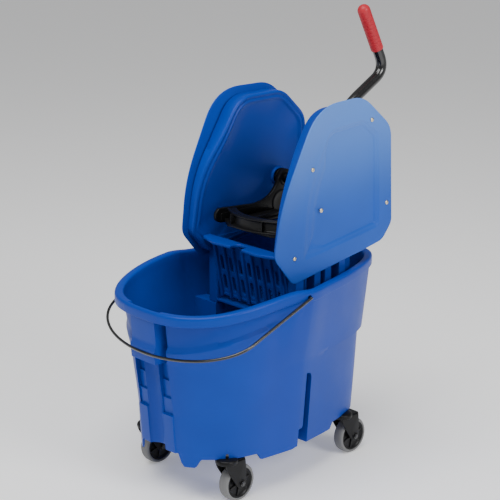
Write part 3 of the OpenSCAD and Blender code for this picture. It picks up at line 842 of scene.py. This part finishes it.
def place_flare(y, z):
    """How far the cover's face stands out at a screw."""
    edge = on_rays(eased(COVER_LINE))
    panel = inwards(on_rays(eased(PANEL_LINE)), PANEL_SIDE[0][0])
    cy, cz = MIDDLE
    a = math.atan2(z - cz, y - cy)
    i = int((a + math.pi) / (2 * math.pi) * RAYS) % RAYS
    outer = math.hypot(edge[i][0] - cy, edge[i][1] - cz)
    inner = math.hypot(panel[i][0] - cy, panel[i][1] - cz)
    t = (outer - math.hypot(y - cy, z - cz)) / max(1, outer - inner)
    return flare(*edge[i]) * faded(min(1, max(0, t)))


def inner_shell():
    edge = on_rays(eased(SHELL_LINE))
    middle = [MIDDLE] * RAYS

    def ring(points, x):
        turn = (COVER_X - x) / (COVER_X - SKIN_X)
        return [(x + SHELL_SPLAY * turn * smooth(60, -25, y), y, z) for y, z in points]

    rings = [ring(between(inwards(edge, 6), middle, t), SKIN_X + 12.6) for t in (0.985, 0.5, 0)]
    rings += [
        ring(inwards(edge, 5.4), COVER_X - 0.6), ring(inwards(edge, 4.8), COVER_X - 0.15),
        ring(inwards(edge, 1), COVER_X - 0.15), ring(edge, COVER_X - 1.2)]
    profile = [
        (0, 109), (0, 104), (0.3, 102), (1.2, 100.4), (2.8, 99.3), (4.6, 98.9), (6.4, 99.2),
        (7.8, 100.1), (8.8, 100.9), (9.8, 101.1), (10.8, 100.6), (12, 99.7), (13.6, 99.2),
        (15.4, 99.5), (17, 100.6), (18.8, 102.4), (21, 103.6), (25, 104.8), (31, 106.2), (38, 107.6),
        (46, 108.6)]
    rings += [ring(inwards(edge, d), x) for d, x in profile]
    last = inwards(edge, 46)
    rings += [ring(between(last, middle, t), 109) for t in (0.12, 0.4, 0.7, 0.985)]
    obj = piece("side_shell_right", *grid(rings), WRINGER, sharp=50)
    profile = [
        (104.6, 17), (103.8, 17.6), (104.4, 18.6), (106, 19), (109.5, 20.5), (112, 20.5), (112, 17)]
    boss = turned("boss", profile, SHAFT, WRINGER, hollow=True)
    return joined([obj, boss], "side_shell_right")


def screws():
    heads = []
    for y, z in SCREWS:
        x = FACE_X + place_flare(y, z) - 0.9
        profile = [(-4, 2), (0, 2.1), (0.1, 4.1), (0.7, 4.4), (1.5, 4.2), (2.2, 3.4), (2.55, 2.0),
                   (2.6, 1.7), (1.6, 1.3), (1.5, 0.2)]
        heads.append(turned("screw", profile, (x, y, z), ZINC, n=32))
    return joined(heads, "panel_screws_right")


def bush():
    profile = [(95, 11.2), (95.6, 14), (96, 17.4), (97, 18.4), (98.6, 18.4), (99.4, 17.6), (100, 14),
               (112.8, 14), (113, 13.4), (113, 11.2)]
    return turned("bush_ring_right", profile, SHAFT, BLACK, hollow=True)


def side_panels():
    made = (
        (cover(), "cover_panel", "wringer_plastic", "outer_cover"),
        (inner_shell(), "side_shell", "wringer_plastic", "inner_shell"),
        (screws(), "panel_screws", "zinc_plate", "cover_screws"),
        (bush(), "bush_ring", "black_plastic", "shaft_bush"))
    for obj, name, slot, node in made:
        settle(mirrored(obj, f"{name}_left"), "wringer", slot, f"{node}_left")
        settle(obj, "wringer", slot, f"{node}_right")


LEDGE_Z, LEDGE_T = 455, 7
SIEVE_Y, SIEVE_LEAN, SIEVE_H, SIEVE_PITCH, COLUMNS = 10, 11, 126, 26.7, 7
NOTCH_R = 16  # rest for the mop's handle
BASKET_Z, RAIL_Z = 318, 452  # underside and upper rail of the basket


def leaned(obj, y, z, degrees):
    """Turns a piece about a line across the width, through y and z."""
    pivot = Vector((0, y * MM + BASE_Y, z * MM))
    turn = (Matrix.Translation(pivot) @ Matrix.Rotation(math.radians(degrees), 4, "X")
            @ Matrix.Translation(-pivot))
    obj.data.transform(turn)
    return obj


def slot_outline(x, z, width, height):
    """An upright slot with round ends, as (x, z) points; z is its lowest point."""
    r = width / 2
    low = [(x - r * math.cos(a), z + r - r * math.sin(a)) for a in fan(10)]
    high = [(x + r * math.cos(a), z + height - r + r * math.sin(a)) for a in fan(10)]
    return low + high


def sieve():
    top = LEDGE_Z + 1
    panel = facing("sieve", [(-103, top - SIEVE_H), (103, top - SIEVE_H), (103, top), (-103, top)],
                   SIEVE_Y, SIEVE_Y + 4, WRINGER, 0)
    slots = []
    for i in range(COLUMNS):
        x = (i - (COLUMNS - 1) / 2) * SIEVE_PITCH
        for z, height in ((top - 68, 34), (top - 112, 34)):
            outline = slot_outline(x - 0.5, z, 9, height)
            slots.append(facing("slot", outline, SIEVE_Y - 2, SIEVE_Y + 8, WRINGER, 0))
    cut(panel, *slots)
    bevelled(panel, 0.7, 2)
    parts = [panel]
    for i in range(COLUMNS + 1):
        x = (i - COLUMNS / 2) * SIEVE_PITCH
        outline = slot_outline(x, top - SIEVE_H - 3, 6.8, SIEVE_H + 2)
        parts.append(facing("rib", outline, SIEVE_Y - 5.5, SIEVE_Y + 1, WRINGER, 2))
        if i < COLUMNS:
            x0, x1, z = x + 4, x + SIEVE_PITCH - 4, top - SIEVE_H
            bar = [(x0, z + 6), (x1, z + 6), (x1, z), (x0, z)]
            parts.append(facing("bar", bar, SIEVE_Y - 1.5, SIEVE_Y + 1, WRINGER, 0.8))
    return leaned(joined(parts, "sieve"), SIEVE_Y, top, SIEVE_LEAN)


def ledge():
    notch = [(NOTCH_R * math.cos(a), -12 + NOTCH_R * math.sin(a)) for a in fan(16)]
    mouth = [(-NOTCH_R, -19)] + notch[::-1] + [(NOTCH_R, -19)]
    front = [(-112, 14), (-112, -4), (-106, -8), (-66, -21), (-60, -22), (-24, -19.5)]
    outline = front + mouth + [(-x, y) for x, y in front[::-1]]
    return upright("ledge", outline, LEDGE_Z, LEDGE_Z + LEDGE_T, WRINGER, 2.2, 4)


def shell_foot(y):
    """Height of the side shell's lower edge, where the basket's uprights end."""
    return 422.4 + 0.146 * y


def basket_walls():
    line = [
        (105, 26), (105, 198), (87, 221), (-87, 221), (-105, 198), (-105, 26),
        (-101, 26), (-101, 196), (-84, 217), (84, 217), (101, 196), (101, 26)]
    walls = upright("walls", line, BASKET_Z, RAIL_Z + 4, WRINGER, 0)
    cuts = []
    for y in (50, 83, 116):
        window = [(y, 345), (y + 20, 345), (y + 20, 415), (y, 415)]
        cuts.append(prism("cut", window, -120, 120, WRINGER, 0))
    for x in (-66, -33, 0, 33, 66):
        cuts.append(facing("cut", slot_outline(x, 345, 12, 90), 205, 235, WRINGER, 0))
    return bevelled(cut(walls, *cuts), 0.8, 2)


def basket_floor():
    line = [(103, 24), (103, 197), (86, 219), (-86, 219), (-103, 197), (-103, 24)]
    floor = upright("floor", line, BASKET_Z, BASKET_Z + 4, WRINGER, 0)
    cuts = [
        upright("cut", slot_outline(x, y, 8, 44), BASKET_Z - 2, BASKET_Z + 8, WRINGER, 0)
        for x in range(-80, 81, 20) for y in (50, 110)]
    return bevelled(cut(floor, *cuts), 0.7, 2)


def members():
    """The posts, bars and lugs at one side, each as its (x, y, z) spans and its bevel."""
    out = [((103, 127), (24, 46), (SHELF_Z + 0.2, shell_foot(24)), 2.5)]
    for y in (76, 106, 146):
        out.append(((103, 126), (y, y + 18), (335, shell_foot(y)), 2))
        out.append(((103, 110), (y + 4, y + 12), (BASKET_Z, 340), 1))
    out.append(((40, 64), (219, 240), (SHELF_Z + 0.2, RAIL_Z), 2))
    out.append(((60, 98), (218, 232), (RAIL_Z - 5, RAIL_Z), 1.5))
    return out


def basket():
    parts = [sieve(), ledge(), basket_walls(), basket_floor()]
    for side in (-1, 1):
        for x, y, z, bevel in members():
            x0, x1 = sorted((side * x[0], side * x[1]))
            parts.append(block("member", (x0, y[0], z[0]), (x1, y[1], z[1]), WRINGER, bevel))
    settle(joined(parts, "wringer_frame"), "wringer", "wringer_plastic", "wringer_basket")


# ---- press

ARC_Y, ARC_R, ARC_HALF = 139, 138, 38  # the yoke's centre, radius and half its angle
PRESS_HALF, ARM_T = 85, 8


def press_arms():
    outline = eased([
        (216, 560, 6), (204, 573, 8), (186, 560, 10), (176, 536, 12), (150, 517, 12), (120, 512, 10),
        (16, 519, 5), (6, 508, 6), (8, 494, 6), (20, 488, 4), (60, 486, 10), (150, 484, 12),
        (176, 478, 10), (212, 484, 14), (216, 506, 14), (206, 534, 8)], 5)
    arm = prism("arm", outline, PRESS_HALF, PRESS_HALF + ARM_T, BLACK, 1.6)
    profile = [(83.5, 11), (83.5, 15), (84.5, 17), (86, 18.5), (92.5, 18.5), (94, 17), (94, 11)]
    hub = turned("hub", profile, SHAFT, BLACK, hollow=True)
    profile = [
        (84.4, 8), (84.4, 20), (83.6, 22), (83.6, 25), (84.6, 27), (93, 27), (94, 25.5), (94, 8)]
    lobe = turned("lobe", profile, (0, 192, 503), BLACK)
    outline = [(20, 508, 4), (130, 508, 6), (160, 500, 8), (130, 496, 4), (60, 497, 4), (20, 490, 4)]
    web = prism("web", eased(outline, 3), PRESS_HALF - 1.5, PRESS_HALF + ARM_T + 1.2, BLACK, 1)
    obj = joined([arm, hub, lobe, web], "press_arm_body_right")
    settle(mirrored(obj, "press_arm_body_left"), "press", "black_plastic", "press_arm_left")
    settle(obj, "press", "black_plastic", "press_arm_right")


def arc_sweep(name, section, material):
    """A closed section of (depth inside the arc, height) points swept round the arc."""
    rings = []
    for turn in fan(56, 2 * ARC_HALF):
        a = math.radians(turn - ARC_HALF - 90)
        rings.append([
            ((ARC_R - d) * math.cos(a), ARC_Y + (ARC_R - d) * math.sin(a), z) for d, z in section])
    return piece(name, *grid(rings), material)


def press_yoke():
    section = (
        (20, 492.6), (1, 492.0), (0, 492.8), (0, 495.2), (1, 496), (8.4, 496.6), (9.6, 498),
        (9.8, 512.4), (8.6, 513.8), (6.6, 514.2), (6, 515), (6, 517), (6.8, 518), (10, 518),
        (10.6, 517.1), (15, 517.1), (15.6, 518), (24, 518), (25, 517.2), (25, 515), (24, 514),
        (15.4, 513.6), (14.2, 512.2), (14, 498), (15.2, 496.4), (20, 496))
    parts = [bevelled(arc_sweep("yoke", section, BLACK), 0.4, 2)]
    for degrees in (-19, 19):
        a = math.radians(-90 + degrees)
        u, v = math.cos(a), math.sin(a)
        far, near = ARC_R - 0.8, ARC_R - 22
        outline = [
            (r * u - side * v, ARC_Y + r * v + side * u)
            for r, side in ((far, 1.3), (far, -1.3), (near, -1.3), (near, 1.3))]
        parts.append(upright("rib", outline, 494, 516, BLACK, 0.5))
    settle(joined(parts, "press_arc"), "press", "black_plastic", "press_yoke")


def press_plate():
    throat = [(32 * math.cos(a), 82 - 32 * math.sin(a)) for a in fan(20)]
    outline = [(34, 170)] + throat + [
        (-34, 170), (-84, 170), (-84, 31), (-60, 15.5), (60, 15.5), (84, 31), (84, 170)]
    plate = upright("plate", outline, 487, 492, BLACK, 0)
    holes = [turned("hole", [(480, 6), (500, 6)], (x, y, 0), BLACK, "z", 24)
             for x in (-58, 58) for y in (60, 84, 108, 132)]
    cut(plate, *holes)
    parts = [bevelled(plate, 0.9, 2)]
    for side in (-1, 1):
        x0, x1 = sorted((side * 38, side * 42))
        parts.append(block("rib", (x0, 60, 491), (x1, 165, 500), BLACK, 1))
    settle(joined(parts, "press_foot"), "press", "black_plastic", "press_plate")


def press_shaft():
    profile = [(-113, 9), (-112.4, 10.6), (-111, 11), (-30, 11), (-27, 11), (27, 11), (111, 11),
               (112.4, 10.6), (113, 9)]
    shaft = turned("cross_shaft", profile, SHAFT, PAINT, n=48)
    settle(shaft, "press", "black_steel", "press_shaft")


# ---- handle

TUBE = [Vector(p) for p in ((SHAFT_Y, SHAFT_Z), (285, 697), (412, 768), (337, 908))]
TUBE_CUTS = (52, 34)  # how far before each bend the tube starts to curve
UP = (TUBE[1] - TUBE[0]).normalized()
OUT = (TUBE[3] - TUBE[2]).normalized()
PLUG_START, BOLT_AT, GRIP_END, GRIP_LEN = 24, 48, 12, 107
GRIP_R, GRIP_DOME = 13.5, 13


def tube_line(start, end):
    """The tube's centre line, from start past the shaft to end short of its last corner."""
    points = [TUBE[0] + start * UP]
    points += [Vector(p) for p in corner(*TUBE[:3], TUBE_CUTS[0], 18)]
    points += [Vector(p) for p in corner(*TUBE[1:], TUBE_CUTS[1], 16)]
    points.append(TUBE[3] - end * OUT)
    return [(0, p.x, p.y) for p in points]


def along(name, profile, origin, direction, material, n=40, hollow=False):
    """A body of revolution whose axis runs in the middle plane."""
    obj = turned(name, profile, (0, 0, 0), material, "z", n, hollow=hollow)
    lean = math.atan2(-direction.x, direction.y)
    base = Vector((0, BASE_Y, 0))
    there = Vector((0, origin.x * MM + BASE_Y, origin.y * MM))
    obj.data.transform(
        Matrix.Translation(there) @ Matrix.Rotation(lean, 4, "X") @ Matrix.Translation(-base))
    return obj


def handle_tube():
    tube = swept("handle_bar", tube_line(PLUG_START, GRIP_END), 11.5, PAINT, 36)
    settle(tube, "press", "black_steel", "handle_tube")


def handle_socket():
    profile = rounded([(-24, 11.1), (-24, 19), (24, 19), (24, 11.1)], 2)
    hub = turned("hub", profile, SHAFT, BLACK, hollow=True)
    profile = rounded([(4, 11.7), (8, 16.6), (20, 16), (50, 15.6), (62, 15.2), (62, 11.7)], 1.5)
    sleeve = along("sleeve", profile, TUBE[0], UP, BLACK, hollow=True)
    profile = rounded([(53, 14), (54, 16), (59, 16), (60, 14)], 0.8)
    collar = along("collar", profile, TUBE[0], UP, BLACK, hollow=True)
    settle(joined([hub, sleeve, collar], "bar_socket"), "press", "black_plastic", "handle_socket")


def socket_bolts():
    centre = TUBE[0] + UP * BOLT_AT
    head = [(0, 5.0), (0.4, 5.5), (3, 5.5), (3.8, 4.8), (4, 3), (4, 1)]
    bolts = [turned("shank", [(-19, 1), (-19, 3), (19, 3), (19, 1)], (0, *centre), ZINC, n=24)]
    for side in (-1, 1):
        bolts.append(turned("head", [(side * (16.2 + s), r) for s, r in head], (0, *centre), ZINC, n=6))
    settle(joined(bolts, "socket_bolt"), "press", "zinc_plate", "socket_bolts")


def handle_grip():
    """A ribbed sleeve with a domed end."""
    r = GRIP_R
    profile = [(0, 11.55), (0, 12.6), (0.8, 13.4), (4, r)]
    for k in range(9):
        s = 10 + 8.6 * k
        profile += [(s, r), (s + 0.7, r - 0.5), (s + 1.7, r - 0.5), (s + 2.4, r)]
    end = GRIP_LEN - GRIP_DOME
    profile += [(end + GRIP_DOME * math.sin(a), r * math.cos(a)) for a in fan(10, math.pi / 2)[:-1]]
    profile.append((end + GRIP_DOME + 0.4, 0.3))
    grip = along("grip_sleeve", profile, TUBE[3] - OUT * GRIP_LEN, OUT, RED, 48)
    settle(grip, "press", "grip_vinyl", "handle_grip")


# ---- casters

FORK_IN, FORK_T = 13.5, 3
AXLE_Z, TRAIL = 38, 25
SPOKES = 6


def tyre(c, at):
    side = [
        (11, 31.2), (12, 32.6), (12, 33.2), (11.6, 34.6), (10.6, 35.9), (8.8, 37.1), (6, 37.8), (3, 38)]
    profile = [(-s, r) for s, r in side] + side[::-1]
    rubber = turned(f"tread_{c}", profile, at, TYRE, n=96, sharp=40, hollow=True)
    settle(rubber, f"wheel_{c}", "tyre_rubber", f"caster_{c}_tyre")


def spoke(at, angle, face):
    """A raised rib on one face of the wheel, narrower towards the tyre."""
    x0, y0, z0 = at
    u, v = math.cos(angle), math.sin(angle)
    rings = []
    for s in (7.2, 9.8):
        rings.append([
            (x0 + face * s, y0 + r * u - side * v, z0 + r * v + side * u)
            for r, side in ((8, -2.2), (8, 2.2), (26, 1.5), (26, -1.5))])
    return bevelled(piece("spoke", *grid(rings), BLACK), 0.5, 2)


def wheel_hub(c, at):
    side = [(13.1, 4.1), (13.1, 7.4), (12.6, 8.2), (8.4, 9.0), (7.6, 10.2), (7.4, 22), (8.0, 25.4),
            (9.4, 27), (10.2, 28), (10.4, 30.2), (9.8, 31)]
    profile = [(-s, r) for s, r in side] + side[::-1]
    parts = [turned("hub", profile, at, BLACK, n=72)]
    parts += [spoke(at, 2 * math.pi / SPOKES * k + 0.3, face) for k in range(SPOKES) for face in (-1, 1)]
    settle(joined(parts, f"wheel_disc_{c}"), f"wheel_{c}", "black_plastic", f"caster_{c}_hub")


def fork(c, x0, y0):
    y1 = y0 + TRAIL
    leg = eased([
        (y0 - 17, 91, 4), (y0 - 13, 76, 8), (y0 + 12, 36, 6), (y1 - 6, 28.5, 6), (y1 + 7, 28.5, 6),
        (y1 + 11.5, 38, 6), (y1 + 11, 74, 6), (y1 + 9, 90, 4)], 6)
    parts = []
    for sign in (-1, 1):
        a, b = sorted((x0 + sign * FORK_IN, x0 + sign * (FORK_IN + FORK_T)))
        parts.append(prism("leg", leg, a, b, BLACK, 0.9))
        washer = [(a - 0.1, 4), (a - 0.1, 9), (b + 0.4, 9), (b + 0.9, 8.4), (b + 0.9, 4)]
        parts.append(turned("washer", washer, (0, y1, AXLE_Z), BLACK, n=40))
    crown = [(x0 - 16.5, y1 + 9), (x0 - 16.5, y0 + 2)]
    crown += [(x0 - 20 * math.cos(a), y0 - 20 * math.sin(a)) for a in fan(16)]
    crown += [(x0 + 16.5, y0 + 2), (x0 + 16.5, y1 + 9)]
    parts.append(upright("crown", crown, 85.5, 91, BLACK, 1.5))
    dome = [(85, 9), (85, 21), (86, 22), (90, 22), (92.4, 21.4), (94.4, 19.5), (95.4, 16), (95.4, 5.7),
            (85, 5.7)]
    parts.append(turned("race", dome, (x0, y0, 0), BLACK, "z", 56, hollow=True))
    settle(joined(parts, f"fork_body_{c}"), f"swivel_{c}", "black_steel", f"caster_{c}_fork")


def axle(c, at):
    shank = [(-16.5, 1), (-16.5, 3.6), (-16, 4), (16, 4), (16.5, 3.6), (16.5, 1)]
    parts = [turned("shank", shank, at, PAINT, n=24)]
    nut = [(16.8, 5.6), (17, 6.3), (19.4, 6.3), (20, 5.6), (20, 4.2), (21, 3.8), (21, 1)]
    for sign, sides in ((-1, 24), (1, 6)):
        parts.append(turned("nut", [(sign * s, r) for s, r in nut], at, PAINT, n=sides))
    settle(joined(parts, f"wheel_bolt_{c}"), f"swivel_{c}", "black_steel", f"caster_{c}_axle")


def stem(c, x0, y0):
    profile = [
        (81.7, 6), (81.7, 8.6), (82.2, 9), (84.2, 9), (84.7, 8.4), (84.8, 5.5), (95.7, 5.5), (95.8, 5.8),
        (96.3, 6), (104, 6), (104.6, 5.8), (104.8, 5.5), (148, 5.5), (150, 4.6), (150, 1)]
    pin = turned(f"stem_pin_{c}", profile, (x0, y0, 0), PAINT, "z", 40)
    settle(pin, "bucket", "zinc_plate", f"caster_{c}_stem")


def caster(c):
    """One caster, with its wheel trailing towards the rear."""
    x0, y0 = swivel_at(c)
    wheel_at = (x0, y0 + TRAIL, AXLE_Z)
    tyre(c, wheel_at)
    wheel_hub(c, wheel_at)
    fork(c, x0, y0)
    axle(c, wheel_at)
    stem(c, x0, y0)


# ---- stage

AIM = (0, 0, 0.45)  # what the lights face, in metres
FLOOR_HALF = 25


def area_light(name, at, size, energy):
    data = bpy.data.lights.new(name, "AREA")
    data.shape = "RECTANGLE"
    data.size, data.size_y = size
    data.energy = energy
    obj = bpy.data.objects.new(name, data)
    obj.location = at
    obj.rotation_euler = (Vector(AIM) - Vector(at)).to_track_quat("-Z", "Y").to_euler()
    bpy.context.scene.collection.objects.link(obj)


def pale_floor():
    mesh = bpy.data.meshes.new("floor")
    h = FLOOR_HALF
    mesh.from_pydata([(-h, -h, 0), (h, -h, 0), (h, h, 0), (-h, h, 0)], [], [(0, 1, 2, 3)])
    floor = bpy.data.objects.new("floor", mesh)
    material, tree, shader = blank("pale_floor")
    wired(tree, shader, Base_Color=(0.95, 0.95, 0.95, 1), Roughness=0.7, Emission_Color=(1, 1, 1, 1),
          Emission_Strength=0.25)
    mesh.materials.append(material)
    bpy.context.scene.collection.objects.link(floor)


def studio():
    pale_floor()
    world = bpy.data.worlds.new("studio")
    world.use_nodes = True
    wired(world.node_tree, world.node_tree.nodes["Background"], Color=(0.97, 0.98, 1, 1), Strength=0.3)
    bpy.context.scene.world = world
    area_light("key", (3.0, 0.2, 1.9), (1.3, 1.5), 62)
    area_light("top", (0.3, -1.3, 3.4), (2.6, 2.6), 120)
    area_light("front", (-1.6, -2.6, 1.0), (1.2, 1.6), 4)


# the camera stands beside the pouring end and looks down on the bucket
EYE = (1.84984, -1.73033, 1.18922)  # in metres, y from the widest station
AZIMUTH, ELEVATION = math.radians(46.567), math.radians(16.207)
LENS = 96.105


def camera():
    data = bpy.data.cameras.new("camera")
    data.sensor_width = 36
    data.lens = LENS
    obj = bpy.data.objects.new("camera", data)
    obj.location = (EYE[0], EYE[1] + BASE_Y, EYE[2])
    obj.rotation_euler = (math.pi / 2 - ELEVATION, 0, AZIMUTH)
    bpy.context.scene.collection.objects.link(obj)
    bpy.context.scene.camera = obj


camera()
studio()
bucket()
bail()
side_panels()
basket()
press_arms()
press_yoke()
press_plate()
press_shaft()
handle_tube()
handle_socket()
socket_bolts()
handle_grip()
for corner_name in CORNERS:
    caster(corner_name)
